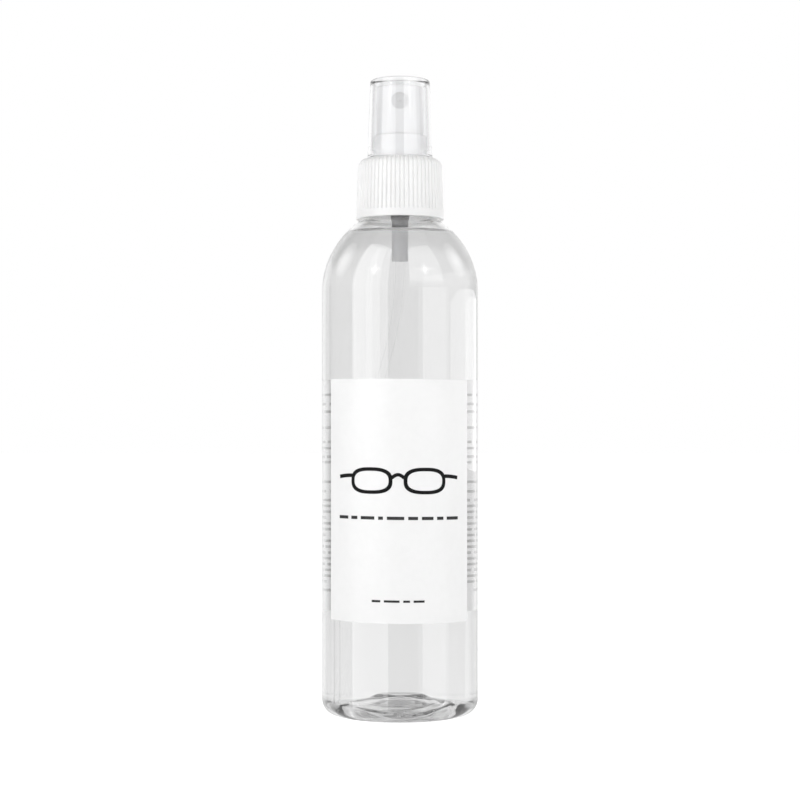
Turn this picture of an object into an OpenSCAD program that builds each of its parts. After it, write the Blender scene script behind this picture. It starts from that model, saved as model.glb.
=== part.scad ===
// Fine mist spray bottle for lens cleaning fluid: a clear round bottle, a ribbed screw collar,
// a finger pump with its dip tube, and a clear overcap. Millimetres, +Z up, the origin at the
// centre of the base. The nozzle and the front label face -Y.

/* [Bottle] */
// Outer radius of the straight wall
body_r = 25; // [24:0.5:30]
// Thickness of the straight wall
wall = 0.7; // [0.5:0.05:0.9]
// Outer radius of the rounded heel
heel_r = 4.5; // [4:0.1:4.8]
// Height at which the shoulder starts
shoulder_z = 134.5; // [130:0.5:135]
// Radius of the shoulder's curve
shoulder_r = 27.7; // [27.4:0.1:28]
// Height of the top of the neck
neck_top = 173.2; // [173:0.1:173.4]
// Outer radius of the neck between the threads
neck_r = 10.95; // [10.8:0.05:11]
// Radius of the neck's bore
bore_r = 9; // [8.5:0.1:9.3]
// Thickness of the base under the heel
base_t = 1.3; // [1:0.1:1.6]
// Height of the fluid's surface
fluid_level = 151.5; // [120:0.5:154]

/* [Labels] */
// Height of the lower edge of both labels
label_z = 31; // [10:0.1:50]
// Height of both labels
label_h = 75.3; // [40:0.1:80]
// Half of the angle that a label covers
label_half_angle = 58.2; // [30:0.1:80]
// Thickness of the label film
label_t = 0.1; // [0.05:0.01:0.2]

/* [Collar] */
// Height of the collar's lower edge
collar_z = 157.8; // [157.6:0.1:158]
// Outer radius at the lower edge
collar_r = 14.05; // [14:0.05:14.5]
// How much the radius shrinks up to the rounded top
collar_draft = 0.6; // [0.4:0.1:0.7]
// Height of the collar's top face
collar_top = 177.1; // [177:0.1:177.1]
// Number of grip grooves
groove_count = 60; // [40:1:72]
// Depth of a grip groove
groove_depth = 0.4; // [0.2:0.05:0.5]

/* [Thread] */
// Rise of the thread in one turn
thread_pitch = 3.175; // [3.1:0.025:3.2]
// Turns of engaged thread
thread_turns = 1.5; // [1:0.25:1.5]
// Crest radius of the bottle's thread
thread_r = 11.95; // [11.8:0.05:12]
// Crest radius of the collar's thread
collar_thread_r = 11.3; // [11.2:0.05:11.4]

/* [Pump] */
// Bore radius of the pump chamber
chamber_r = 4.6; // [4.5:0.05:4.65]
// Radius of the hollow stem
stem_r = 1.9; // [1.85:0.01:1.92]
// Radius of the inlet ball
ball_r = 1.25; // [1.2:0.01:1.3]
// Travel of the button, for which the chamber has room
press_travel = 5; // [3:0.5:5]
// Wire diameter of the return spring
wire_d = 0.45; // [0.4:0.05:0.5]
// Mean radius of the return spring
coil_r = 1.9; // [1.85:0.01:1.95]
// Coils between the spring's closed ends
active_coils = 6; // [4:1:6]

/* [Button and overcap] */
// Outer radius of the button
button_r = 7.6; // [7:0.1:7.7]
// Height of the button's top
button_top = 200.1; // [199.5:0.1:200.3]
// Height of the nozzle's axis
nozzle_z = 194.7; // [194:0.1:195]
// Radius of the nozzle insert
insert_r = 2.63; // [2.5:0.01:2.8]
// Height of the overcap's top
overcap_top = 202.3; // [202.2:0.1:203.5]

/* [Dip tube] */
// Outer radius of the tube
tube_r = 1.4; // [1.3:0.05:1.4]
// Bore radius of the tube
tube_bore_r = 0.95; // [0.8:0.05:1]
// Direction in which the tube leans to the wall
tube_heading = 214; // [0:1:359]
// Gap between the tube's lower stretch and the bottle's wall
tube_wall_gap = 0.15; // [0.15:0.05:4]
// Radius of each of the tube's two bends
tube_bend_r = 120; // [80:5:140]
// Angle of the tube's sloping stretch
tube_lean = 15; // [14:0.5:18]
// Height of the tube's lower end
tube_foot_z = 4.6; // [4.6:0.1:8]

/* [Hidden] */
$fn = 72;

// Bottle
inner_r = body_r - wall;
inner_heel_r = 4;
foot_ring_r = 17.5;         // inner edge of the standing ring
dome_r = 8.7;               // edge of the raised middle of the base
dome_under_z = 2.7;
dome_inner_z = 4.2;
nub_r = 4.4;                // crown of the raised middle
nub_under_z = 5.2;
nub_edge_under_z = 4.3;
nub_inner_z = 7.6;
nub_wall = 0.6;
shoulder_axis_r = body_r - shoulder_r;
shoulder_inner_r = shoulder_r - wall;
shoulder_end = acos((neck_r - shoulder_axis_r) / shoulder_r);
shoulder_inner_end = acos((bore_r - shoulder_axis_r) / shoulder_inner_r);
fluid_gap = 0.05;

// Thread: the collar's ridge runs below the bottle's, and bears on it with a small gap
ridge_root_w = 1.9;
ridge_crest_w = 0.8;
collar_ridge_root_w = 1.7;
collar_ridge_crest_w = 0.6;
thread_start_z = 165.4;
thread_drop = 1.31;
ridge_embed = 0.25;         // how deep a ridge's root sits in its wall
thread_steps = 24;          // segments in one turn

// Collar
collar_round = 2.6;
collar_shelf_z = 176;       // underside of the collar's top wall
collar_hole_r = 8.9;
collar_root_r = 12.35;
collar_mouth_r = 12.75;
collar_mouth_h = 2.2;
groove_z = collar_z + 2.5;
groove_w = 0.52;            // width of a groove at the surface
groove_over = 0.3;          // how far the cutter stands out of the surface
collar_side_h = collar_top - collar_round - collar_z;
collar_slope = atan(collar_draft / collar_side_h);

// Pump stack, from the neck upwards
gasket_top = 174.3;
flange_top = 175.2;
turret_flange_top = 175.95;
turret_floor = 176.4;
turret_r = 8.7;
turret_wall = 0.8;
turret_top = 184.4;
plug_r = chamber_r - 0.02;
plug_z = 173.75;
seal_z = 173.9;
seal_top = 174.6;
seal_r = 3.95;
seal_gap = 0.03;
stem_seal_r = stem_r + 0.05;
stem_guide_r = stem_r + 0.1;
gasket_gap = 0.15;
turret_chamfer = 0.5;

// Pump housing
housing_r = 5.6;
housing_flange_r = neck_r - 0.25;
turret_flange_r = neck_r - 0.35;
cone_top = 162;             // upper end of the cone under the chamber
cone_z = 159;
neck_down_z = 157.6;
tail_shank_z = 153.4;
vent_z = 171.6;
vent_r = 0.35;
neck_down_r = 2.95;
tail_shank_r = 2.65;
tail_r = 1.95;
tail_z = 142;
socket_r = tube_r + 0.02;
socket_top = 154.4;
seat_hole_r = 0.8;
seat_z = 155.2;
seat_top_z = 156;
ball_bore_r = 1.5;
retainer_z = 158.2;
retainer_t = 0.5;
retainer_gap = 0.02;
retainer_slot_len = 3.2;
retainer_slot_w = 0.6;
pocket_r = 2.3;
pocket_top = 161;
chamber_floor = 163;
seat_slope = atan2(ball_bore_r - seat_hole_r, seat_top_z - seat_z);
ball_gap = 0.02;
ball_z = seat_z + (ball_r + ball_gap - seat_hole_r * cos(seat_slope)) / sin(seat_slope);

// Moving parts inside the pump
flange_z = 168.6;           // underside of the lower stem's flange
flange_t = 0.8;
flange_r = 3.2;
lower_neck_r = 1.43;
lower_bore_r = 0.7;
port_z = 169.85;
port_r = 0.3;
pilot_h = 2;
stem_socket_h = 3;
stem_socket_r = lower_neck_r + 0.01;
stem_end_gap = 0.1;
stem_foot_z = 173.3;
stem_top = 193;
stem_bore_r = 1;
piston_r = chamber_r - 0.03;
piston_bore_r = lower_neck_r + 0.07;
piston_hub_r = 2.6;
piston_hub_h = 3.2;
piston_lip_r = 4;           // inside of the piston's two lips
piston_lip_h = 3.6;         // upper edge of the upper lip
piston_lip_foot = 0.3;      // lower edge of the lower lip
piston_web_foot = 1.5;
piston_web_top = 2.3;

// Button
button_wall = 1.1;
button_foot_z = 183.4;
button_round = 1;
button_cap_t = 1.2;
stem_post_r = 3.2;
stem_post_z = 186;
post_gap = 1;               // what is left under the post when the button is down
guide_boss_r = 3.6;
guide_boss_top = stem_post_z - press_travel - post_gap;
nozzle_boss_r = 3.7;
nozzle_boss_end = 6.6;
insert_back = 4;            // distance of the insert's seat from the axis
insert_front = 7.3;
swirl_post_r = 1.45;
swirl_post_end = 6.5;
insert_cup_r = 1.95;
channel_r = 0.45;
channel_rise = 1.6;
riser_r = 0.9;              // passage over the stem's end
stem_fit_gap = 0.05;
insert_fit_gap = 0.02;
orifice_r = 0.15;
swirl_r = 0.5;
swirl_depth = 0.4;
cup_gap = 0.1;
face_cone_r = 1;
face_cone_end_r = 0.4;
face_cone_depth = 0.25;

// Dip tube
tube_offset = inner_r - tube_r - tube_wall_gap;
tube_top_gap = 0.2;         // room over the tube's end in its socket
tube_straight = 1.6;        // from the tail's lower end up to the first bend
join_len = 0.3;
join_swell = 0.01;

// Overcap
cap_foot_z = 177.2;
cap_wall = 0.95;
cap_round = 1.5;
cap_roof_t = 1.4;
cap_foot_r = 10.45;
cap_foot_inner_r = 9.5;
cap_flare_z = 180;
cap_flare_r = 10.3;
cap_corner_r = 9.5;
cap_inner_chamfer = 0.6;
cap_seat_r = 9.35;          // inside above the snap ring
snap_r = turret_r + 0.05;
snap_z = 179.2;
snap_h = 0.6;

// Points of an arc in a lathe section, from one angle to another
function arc(r0, z0, rad, from, to, steps) =
    [for (i = [0:steps])
        let (a = from + (to - from) * i / steps)
        [r0 + rad * cos(a), z0 + rad * sin(a)]];

module lathe(section) {
    rotate_extrude()
        polygon(section);
}

// A closed skin over rings of points, with flat ends
module skin(rings) {
    n = len(rings[0]);
    last = len(rings) - 1;
    polyhedron(
        points = [for (ring = rings) each ring],
        faces = concat(
            [[for (j = [n - 1:-1:0]) j]],
            [[for (j = [0:n - 1]) last * n + j]],
            [for (i = [0:last - 1], j = [0:n - 1])
                let (k = (j + 1) % n)
                each [
                    [i * n + j, (i + 1) * n + k, (i + 1) * n + j],
                    [i * n + j, i * n + k, (i + 1) * n + k]
                ]]
        )
    );
}

// A right-hand thread ridge that fades into its wall at both ends
module thread_ridge(root_r, crest_r, root_w, crest_w, start_z) {
    steps = round(thread_turns * thread_steps);
    out = crest_r > root_r;
    rings = [for (i = [0:steps])
        let (
            a = i * 360 / thread_steps,
            z = start_z + thread_pitch * i / thread_steps,
            full = max(0.1, min(1, i / 3, (steps - i) / 3)),
            r = root_r + (crest_r - root_r) * full,
            section = [
                [root_r, -root_w / 2], [r, -crest_w / 2], [r, crest_w / 2], [root_r, root_w / 2]
            ]
        )
        [for (k = [0:3])
            let (p = section[out ? k : 3 - k])
            [p[0] * cos(a), p[0] * sin(a), z + p[1]]]];
    skin(rings);
}

// Outline of the bottle's inside, from the middle of the base up to an angle on the shoulder
function inside_outline(gap, shoulder_to) = concat(
    [[0, nub_inner_z + gap]],
    [[nub_r + nub_wall, nub_inner_z + gap]],
    [[dome_r, dome_inner_z + gap]],
    arc(inner_r - inner_heel_r, base_t + inner_heel_r, inner_heel_r - gap, -90, 0, 8),
    arc(shoulder_axis_r, shoulder_z, shoulder_inner_r - gap, 0, shoulder_to, 16)
);

function reversed(list) = [for (i = [len(list) - 1:-1:0]) list[i]];

module bottle() {
    color([0.86, 0.9, 0.92, 0.35]) {
        lathe(concat(
            [[0, nub_under_z]],
            [[nub_r, nub_edge_under_z]],
            [[dome_r, dome_under_z]],
            [[foot_ring_r, 0]],
            arc(body_r - heel_r, heel_r, heel_r, -90, 0, 8),
            arc(shoulder_axis_r, shoulder_z, shoulder_r, 0, shoulder_end, 16),
            [[neck_r, neck_top]],
            [[bore_r, neck_top]],
            reversed(inside_outline(0, shoulder_inner_end))
        ));
        thread_ridge(neck_r - ridge_embed, thread_r, ridge_root_w, ridge_crest_w, thread_start_z);
    }
}

module cleaning_fluid() {
    reach = shoulder_inner_r - fluid_gap;
    level_angle = asin((fluid_level - shoulder_z) / reach);
    color([0.9, 0.94, 0.96, 0.4])
        difference() {
            lathe(concat(inside_outline(fluid_gap, level_angle), [[0, fluid_level]]));
            tube_route(tube_r + fluid_gap, fluid_gap);
            translate([0, 0, tail_z - fluid_gap])
                cylinder(r = tail_r + fluid_gap, h = fluid_level);
            translate([0, 0, tail_shank_z - fluid_gap])
                cylinder(r = tail_shank_r + fluid_gap, h = fluid_level);
        }
}

module label(centre) {
    rotate([0, 0, centre - label_half_angle])
        rotate_extrude(angle = 2 * label_half_angle)
            translate([body_r, label_z])
                square([label_t, label_h]);
}

module front_label() {
    color("white")
        label(-90);
}

module back_label() {
    color("white")
        label(90);
}

module neck_gasket() {
    color("gainsboro")
        difference() {
            translate([0, 0, neck_top])
                cylinder(r = neck_r - gasket_gap, h = gasket_top - neck_top);
            translate([0, 0, neck_top - 1])
                cylinder(r = housing_r + gasket_gap, h = 4);
        }
}

module grip_groove() {
    half = groove_w / 2 * (groove_depth + groove_over) / groove_depth;
    translate([collar_r - (groove_z - collar_z) * tan(collar_slope), 0, groove_z])
        rotate([0, -collar_slope, 0])
            linear_extrude(collar_top - groove_z)
                polygon([[-groove_depth, 0], [groove_over, -half], [groove_over, half]]);
}

module screw_collar() {
    side_top_r = collar_r - collar_draft;
    color("whitesmoke") {
        difference() {
            lathe(concat(
                [[collar_mouth_r, collar_z]],
                [[collar_r, collar_z]],
                arc(side_top_r - collar_round, collar_top - collar_round, collar_round, 0, 90, 8),
                [[collar_hole_r, collar_top]],
                [[collar_hole_r, collar_shelf_z]],
                [[collar_root_r, collar_shelf_z]],
                [[collar_root_r, collar_z + collar_mouth_h]],
                [[collar_mouth_r, collar_z + collar_mouth_h - 0.4]]
            ));
            for (i = [0:groove_count - 1])
                rotate([0, 0, i * 360 / groove_count])
                    grip_groove();
        }
        thread_ridge(collar_root_r + ridge_embed, collar_thread_r, collar_ridge_root_w,
            collar_ridge_crest_w, thread_start_z - thread_drop);
    }
}

module pump_housing() {
    color("lightgray")
        difference() {
            lathe([
                [socket_r, tail_z],
                [tail_r, tail_z],
                [tail_r, tail_shank_z],
                [tail_shank_r, tail_shank_z],
                [tail_shank_r, neck_down_z],
                [neck_down_r, neck_down_z],
                [neck_down_r, cone_z],
                [housing_r, cone_top],
                [housing_r, gasket_top],
                [housing_flange_r, gasket_top],
                [housing_flange_r, flange_top],
                [chamber_r, flange_top],
                [chamber_r, chamber_floor],
                [pocket_r, pocket_top],
                [pocket_r, retainer_z],
                [ball_bore_r, retainer_z],
                [ball_bore_r, seat_top_z],
                [seat_hole_r, seat_z],
                [seat_hole_r, socket_top],
                [socket_r, socket_top]
            ]);
            // Vent, which the piston covers while the pump rests
            translate([0, 0, vent_z])
                rotate([0, 90, 0])
                    cylinder(r = vent_r, h = housing_r + 1);
        }
}

module pump_turret() {
    color("whitesmoke")
        lathe([
            [stem_guide_r, seal_top],
            [seal_r + seal_gap, seal_top],
            [seal_r + seal_gap, plug_z],
            [plug_r, plug_z],
            [plug_r, flange_top],
            [turret_flange_r, flange_top],
            [turret_flange_r, turret_flange_top],
            [turret_r, turret_flange_top],
            [turret_r, turret_top - turret_chamfer],
            [turret_r - turret_chamfer, turret_top],
            [turret_r - turret_wall, turret_top],
            [turret_r - turret_wall, turret_floor],
            [guide_boss_r, turret_floor],
            [guide_boss_r, guide_boss_top],
            [stem_guide_r, guide_boss_top]
        ]);
}

module stem_seal() {
    color("dimgray")
        difference() {
            translate([0, 0, seal_z])
                cylinder(r = seal_r, h = seal_top - seal_z);
            translate([0, 0, seal_z - 1])
                cylinder(r = stem_seal_r, h = 3);
        }
}

module ball_retainer() {
    color("white")
        difference() {
            translate([0, 0, retainer_z])
                cylinder(r = pocket_r - retainer_gap, h = retainer_t);
            for (a = [0, 90])
                rotate([0, 0, a])
                    translate([-retainer_slot_len / 2, -retainer_slot_w / 2, retainer_z - 1])
                        cube([retainer_slot_len, retainer_slot_w, retainer_t + 2]);
        }
}

module inlet_ball() {
    color("silver")
        translate([0, 0, ball_z])
            sphere(r = ball_r);
}

module return_spring() {
    sides = 6;
    turn_steps = 16;
    wire_r = wire_d / 2;
    low_z = retainer_z + retainer_t + wire_r + retainer_gap;
    high_z = flange_z - wire_r - retainer_gap;
    turns = active_coils + 2;
    rings = [for (i = [0:turns * turn_steps])
        let (
            t = i / turn_steps,
            risen = max(0, min(active_coils, t - 1)) / active_coils,
            closed = min(t, 1) + max(0, t - turns + 1),
            z = low_z + wire_d * closed + (high_z - low_z - 2 * wire_d) * risen,
            a = t * 360
        )
        [for (k = [0:sides - 1])
            let (
                b = k * 360 / sides,
                r = coil_r + wire_r * cos(b)
            )
            [r * cos(a), r * sin(a), z + wire_r * sin(b)]]];
    color("silver")
        skin(rings);
}

module lower_stem() {
    pilot_z = flange_z - pilot_h;
    neck_end = stem_foot_z + stem_socket_h - stem_end_gap;
    color("white")
        difference() {
            union() {
                translate([0, 0, pilot_z])
                    cylinder(r = lower_neck_r, h = neck_end - pilot_z);
                translate([0, 0, flange_z])
                    cylinder(r = flange_r, h = flange_t);
            }
            translate([0, 0, port_z])
                cylinder(r = lower_bore_r, h = neck_end);
            translate([-flange_r, 0, port_z])
                rotate([0, 90, 0])
                    cylinder(r = port_r, h = 2 * flange_r);
        }
}

module upper_stem() {
    color("white")
        lathe([
            [stem_socket_r, stem_foot_z],
            [stem_r, stem_foot_z],
            [stem_r, stem_top],
            [stem_bore_r, stem_top],
            [stem_bore_r, stem_foot_z + stem_socket_h],
            [stem_socket_r, stem_foot_z + stem_socket_h]
        ]);
}

module pump_piston() {
    seat = flange_z + flange_t;
    bevel = 0.2;
    color("gainsboro")
        lathe([
            [piston_bore_r, seat],
            [piston_hub_r, seat],
            [piston_hub_r, seat + piston_web_foot],
            [piston_lip_r, seat + piston_web_foot],
            [piston_lip_r, seat + piston_lip_foot + bevel],
            [piston_r, seat + piston_lip_foot],
            [piston_r, seat + piston_lip_h],
            [piston_lip_r, seat + piston_lip_h - bevel],
            [piston_lip_r, seat + piston_web_top],
            [piston_hub_r, seat + piston_web_top],
            [piston_hub_r, seat + piston_hub_h],
            [piston_bore_r, seat + piston_hub_h]
        ]);
}

// A cylinder that points from the axis towards the nozzle side
module forward(radius, from, to, z) {
    translate([0, -from, z])
        rotate([90, 0, 0])
            cylinder(r = radius, h = to - from);
}

module actuator_button() {
    hollow_r = button_r - button_wall;
    roof_z = button_top - button_cap_t;
    color("whitesmoke")
        difference() {
            union() {
                lathe(concat(
                    [[hollow_r, button_foot_z]],
                    [[button_r, button_foot_z]],
                    arc(button_r - button_round, button_top - button_round, button_round, 0, 90, 6),
                    [[0, button_top]],
                    [[0, roof_z]],
                    [[hollow_r, roof_z]]
                ));
                translate([0, 0, stem_post_z])
                    cylinder(r = stem_post_r, h = roof_z - stem_post_z + 0.5);
                forward(nozzle_boss_r, 0, nozzle_boss_end, nozzle_z);
            }
            translate([0, 0, stem_post_z - 1])
                cylinder(r = stem_r + stem_fit_gap, h = stem_top - stem_post_z + 1 + stem_fit_gap);
            translate([0, 0, stem_top])
                cylinder(r = riser_r, h = nozzle_z + channel_rise + channel_r - stem_top);
            difference() {
                forward(insert_r + insert_fit_gap, insert_back, button_r + 1, nozzle_z);
                forward(swirl_post_r, insert_back - 1, swirl_post_end, nozzle_z);
            }
            forward(channel_r, 0, insert_back + 0.5, nozzle_z + channel_rise);
        }
}

module nozzle_insert() {
    color("lightgray")
        difference() {
            forward(insert_r, insert_back + stem_fit_gap, insert_front, nozzle_z);
            forward(insert_cup_r, insert_back - 1, swirl_post_end + cup_gap, nozzle_z);
            forward(swirl_r, swirl_post_end, swirl_post_end + swirl_depth, nozzle_z);
            forward(orifice_r, swirl_post_end, insert_front + 1, nozzle_z);
            translate([0, -insert_front - 0.01, nozzle_z])
                rotate([-90, 0, 0])
                    cylinder(r1 = face_cone_r, r2 = face_cone_end_r, h = face_cone_depth);
        }
}

// One of the tube's two bends, lying flat
module bend(radius) {
    rotate_extrude(angle = tube_lean)
        translate([tube_bend_r, 0])
            circle(r = radius);
}

// A round rod along the tube's route: down the axis, out to the wall in two bends, and down
// the wall. It runs past both of the tube's ends by a given length. Each straight stretch
// reaches into the bends beside it, and is a hair fatter, so that they join cleanly.
module tube_route(radius, past) {
    tube_top = socket_top - tube_top_gap;
    bend_top = tail_z + tube_straight;
    bend_out = tube_bend_r * (1 - cos(tube_lean));
    bend_drop = tube_bend_r * sin(tube_lean);
    slope_len = (tube_offset - 2 * bend_out) / sin(tube_lean);
    slope_end_z = bend_top - bend_drop - slope_len * cos(tube_lean);
    wall_z = slope_end_z - bend_drop;
    rotate([0, 0, tube_heading]) {
        translate([0, 0, bend_top - join_len])
            cylinder(r = radius + join_swell, h = tube_top - bend_top + join_len + past);
        translate([tube_bend_r, 0, bend_top])
            rotate([-90, 0, 180])
                bend(radius);
        translate([bend_out, 0, bend_top - bend_drop])
            rotate([0, 180 - tube_lean, 0])
                translate([0, 0, -join_len])
                    cylinder(r = radius + join_swell, h = slope_len + 2 * join_len);
        translate([tube_offset - tube_bend_r, 0, wall_z])
            rotate([90, 0, 0])
                bend(radius);
        translate([tube_offset, 0, tube_foot_z - past])
            cylinder(r = radius + join_swell, h = wall_z - tube_foot_z + join_len + past);
    }
}

module dip_tube() {
    color([0.92, 0.93, 0.94, 0.7])
        difference() {
            tube_route(tube_r, 0);
            tube_route(tube_bore_r, 1);
        }
}

module overcap() {
    roof_z = overcap_top - cap_roof_t;
    color([0.92, 0.94, 0.95, 0.45])
        lathe(concat(
            [[cap_foot_inner_r, cap_foot_z]],
            [[cap_foot_r, cap_foot_z]],
            [[cap_flare_r, cap_flare_z]],
            arc(cap_corner_r - cap_round, overcap_top - cap_round, cap_round, 0, 90, 6),
            [[0, overcap_top]],
            [[0, roof_z]],
            [[cap_corner_r - cap_wall - cap_inner_chamfer, roof_z]],
            [[cap_corner_r - cap_wall, roof_z - cap_inner_chamfer]],
            [[cap_seat_r, snap_z + 2 * snap_h]],
            [[snap_r, snap_z + snap_h]],
            [[snap_r, snap_z]],
            [[cap_seat_r + 0.1, snap_z - snap_h]]
        ));
}

bottle();
cleaning_fluid();
front_label();
back_label();
neck_gasket();
screw_collar();
pump_housing();
pump_turret();
stem_seal();
ball_retainer();
inlet_ball();
return_spring();
lower_stem();
upper_stem();
pump_piston();
actuator_button();
nozzle_insert();
dip_tube();
overcap();
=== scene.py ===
"""Lens cleaning spray: a clear round bottle of fluid with two labels, a ribbed screw collar, a finger mist
pump with its dip tube, and a clear overcap. Pieces are drawn in millimetres and placed in metres.
"""

import math

import bmesh
import bpy
from mathutils import Matrix, Vector


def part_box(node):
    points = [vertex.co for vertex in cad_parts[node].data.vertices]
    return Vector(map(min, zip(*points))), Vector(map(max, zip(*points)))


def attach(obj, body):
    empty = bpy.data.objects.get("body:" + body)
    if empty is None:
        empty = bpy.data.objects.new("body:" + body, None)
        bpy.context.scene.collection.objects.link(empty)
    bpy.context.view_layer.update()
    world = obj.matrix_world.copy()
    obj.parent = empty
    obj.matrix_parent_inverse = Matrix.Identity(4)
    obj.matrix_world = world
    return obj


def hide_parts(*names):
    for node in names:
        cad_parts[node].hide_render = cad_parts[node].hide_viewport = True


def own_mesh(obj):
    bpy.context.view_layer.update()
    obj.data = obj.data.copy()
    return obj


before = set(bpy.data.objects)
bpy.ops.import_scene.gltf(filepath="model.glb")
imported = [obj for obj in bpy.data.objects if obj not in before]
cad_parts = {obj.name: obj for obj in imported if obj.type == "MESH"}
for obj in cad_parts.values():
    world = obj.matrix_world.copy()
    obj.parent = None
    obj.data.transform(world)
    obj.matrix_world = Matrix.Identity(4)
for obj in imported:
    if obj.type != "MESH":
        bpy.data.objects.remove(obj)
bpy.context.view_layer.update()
MM = 0.001


# ---------------------------------------------------------------- helpers for shapes

def spaced(start, stop, step):
    """Values from start up to stop, a step apart."""
    return [start + step * i for i in range(int((stop - start) / step) + 1)]


def arc(r0, z0, radius, start, stop, steps):
    """Points of an arc in a lathe section, angles in degrees from +r towards +z."""
    points = []
    for i in range(steps + 1):
        a = math.radians(start + (stop - start) * i / steps)
        points.append((r0 + radius * math.cos(a), z0 + radius * math.sin(a)))
    return points


def rounded(corners, steps=5):
    """A section through corners (r, z) or (r, z, radius), each with a radius turned into an arc."""
    points = []
    for i, corner in enumerate(corners):
        radius = corner[2] if len(corner) > 2 else 0
        here = Vector(corner[:2])
        if not radius or i in (0, len(corners) - 1):
            points.append(tuple(here))
            continue
        to_last = (Vector(corners[i - 1][:2]) - here).normalized()
        to_next = (Vector(corners[i + 1][:2]) - here).normalized()
        half = to_last.angle(to_next) / 2
        reach = radius / math.tan(half)
        centre = here + (to_last + to_next).normalized() * (radius / math.sin(half))
        first = here + to_last * reach - centre
        turn = first.angle_signed(here + to_next * reach - centre)
        for k in range(steps + 1):
            spoke = Matrix.Rotation(-turn * k / steps, 2) @ first
            points.append(tuple(centre + spoke))
    return points


def new_piece(name, verts, faces, sharp=35):
    """A smooth-shaded mesh object from points in millimetres, with its normals turned outwards."""
    mesh = bpy.data.meshes.new(name)
    mesh.from_pydata([tuple(c * MM for c in v) for v in verts], [], faces)
    work = bmesh.new()
    work.from_mesh(mesh)
    bmesh.ops.remove_doubles(work, verts=work.verts, dist=1e-7)
    bmesh.ops.recalc_face_normals(work, faces=work.faces)
    work.to_mesh(mesh)
    work.free()
    mesh.shade_smooth()
    mesh.set_sharp_from_angle(angle=math.radians(sharp))
    piece = bpy.data.objects.new(name, mesh)
    bpy.context.scene.collection.objects.link(piece)
    return piece


def revolve(name, section, steps=192, dent=None, sharp=35):
    """A solid of revolution. The section either starts and ends on the axis or is a closed ring.
    dent(angle, r, z) is a depth that the surface is pushed in along its own normal."""
    on_axis = section[0][0] < 1e-6
    count = len(section)
    normals = []
    for i in range(count):
        before = Vector(section[(i - 1) % count])
        after = Vector(section[(i + 1) % count])
        run = after - before
        normals.append(Vector((run.y, -run.x)).normalized() if run.length > 1e-9 else Vector((1, 0)))
    verts, rows = [], []
    for (r, z), normal in zip(section, normals):
        if r < 1e-6:
            rows.append([len(verts)] * steps)
            verts.append((0, 0, z))
            continue
        row = []
        for k in range(steps):
            a = 2 * math.pi * k / steps
            depth = dent(math.degrees(a), r, z) if dent else 0
            rr, zz = r - depth * normal.x, z - depth * normal.y
            row.append(len(verts))
            verts.append((rr * math.cos(a), rr * math.sin(a), zz))
        rows.append(row)
    faces = []
    last = count - 1 if on_axis else count
    for i in range(last):
        lower, upper = rows[i], rows[(i + 1) % count]
        for k in range(steps):
            n = (k + 1) % steps
            quad = [lower[k], lower[n], upper[n], upper[k]]
            face = list(dict.fromkeys(quad))
            if len(face) > 2:
                faces.append(face)
    return new_piece(name, verts, faces, sharp)


def sweep(name, rings, sharp=35):
    """A closed skin over rings of points, with flat ends."""
    n = len(rings[0])
    verts = [p for ring in rings for p in ring]
    faces = [list(range(n)), [(len(rings) - 1) * n + j for j in range(n)]]
    for i in range(len(rings) - 1):
        for j in range(n):
            k = (j + 1) % n
            faces.append([i * n + j, i * n + k, (i + 1) * n + k, (i + 1) * n + j])
    return new_piece(name, verts, faces, sharp)


# ---------------------------------------------------------------- helpers for materials

def material(name, color, roughness=0.4, ior=1.5, transmission=0.0, **sockets):
    """A Principled material. Returns it with its nodes, for the procedural detail."""
    m = bpy.data.materials.new(name)
    m.use_nodes = True
    nodes, links = m.node_tree.nodes, m.node_tree.links
    shader = nodes["Principled BSDF"]
    shader.inputs["Base Color"].default_value = (*color, 1)
    shader.inputs["Roughness"].default_value = roughness
    shader.inputs["IOR"].default_value = ior
    shader.inputs["Transmission Weight"].default_value = transmission
    for socket, value in sockets.items():
        shader.inputs[socket.replace("_", " ")].default_value = value
    return m, nodes, links, shader


def noise(nodes, links, scale, detail=3, stretch=(1, 1, 1)):
    """Noise over the object's own coordinates, in features per metre."""
    place = nodes.new("ShaderNodeTexCoord")
    mapping = nodes.new("ShaderNodeMapping")
    mapping.inputs["Scale"].default_value = stretch
    texture = nodes.new("ShaderNodeTexNoise")
    texture.inputs["Scale"].default_value = scale
    texture.inputs["Detail"].default_value = detail
    links.new(place.outputs["Object"], mapping.inputs["Vector"])
    links.new(mapping.outputs["Vector"], texture.inputs["Vector"])
    return texture.outputs["Fac"]


def bump(nodes, links, shader, height, strength, distance):
    """Fine relief in the surface, with its height in metres."""
    node = nodes.new("ShaderNodeBump")
    node.inputs["Strength"].default_value = strength
    node.inputs["Distance"].default_value = distance
    links.new(height, node.inputs["Height"])
    links.new(node.outputs["Normal"], shader.inputs["Normal"])


def vary(nodes, links, shader, socket, factor, low, high):
    """A socket that follows a noise from one value to another, over the middle of the noise's range."""
    remap = nodes.new("ShaderNodeMapRange")
    remap.inputs["From Min"].default_value = 0.3
    remap.inputs["From Max"].default_value = 0.7
    remap.inputs["To Min"].default_value = low
    remap.inputs["To Max"].default_value = high
    links.new(factor, remap.inputs["Value"])
    links.new(remap.outputs["Result"], shader.inputs[socket])


def tint(nodes, links, shader, factor, dark, light):
    """A base colour that drifts between two tones."""
    ramp = nodes.new("ShaderNodeValToRGB")
    ramp.color_ramp.elements[0].position = 0.35
    ramp.color_ramp.elements[0].color = (*dark, 1)
    ramp.color_ramp.elements[1].position = 0.65
    ramp.color_ramp.elements[1].color = (*light, 1)
    links.new(factor, ramp.inputs["Fac"])
    links.new(ramp.outputs["Color"], shader.inputs["Base Color"])


# ---------------------------------------------------------------- materials

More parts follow.
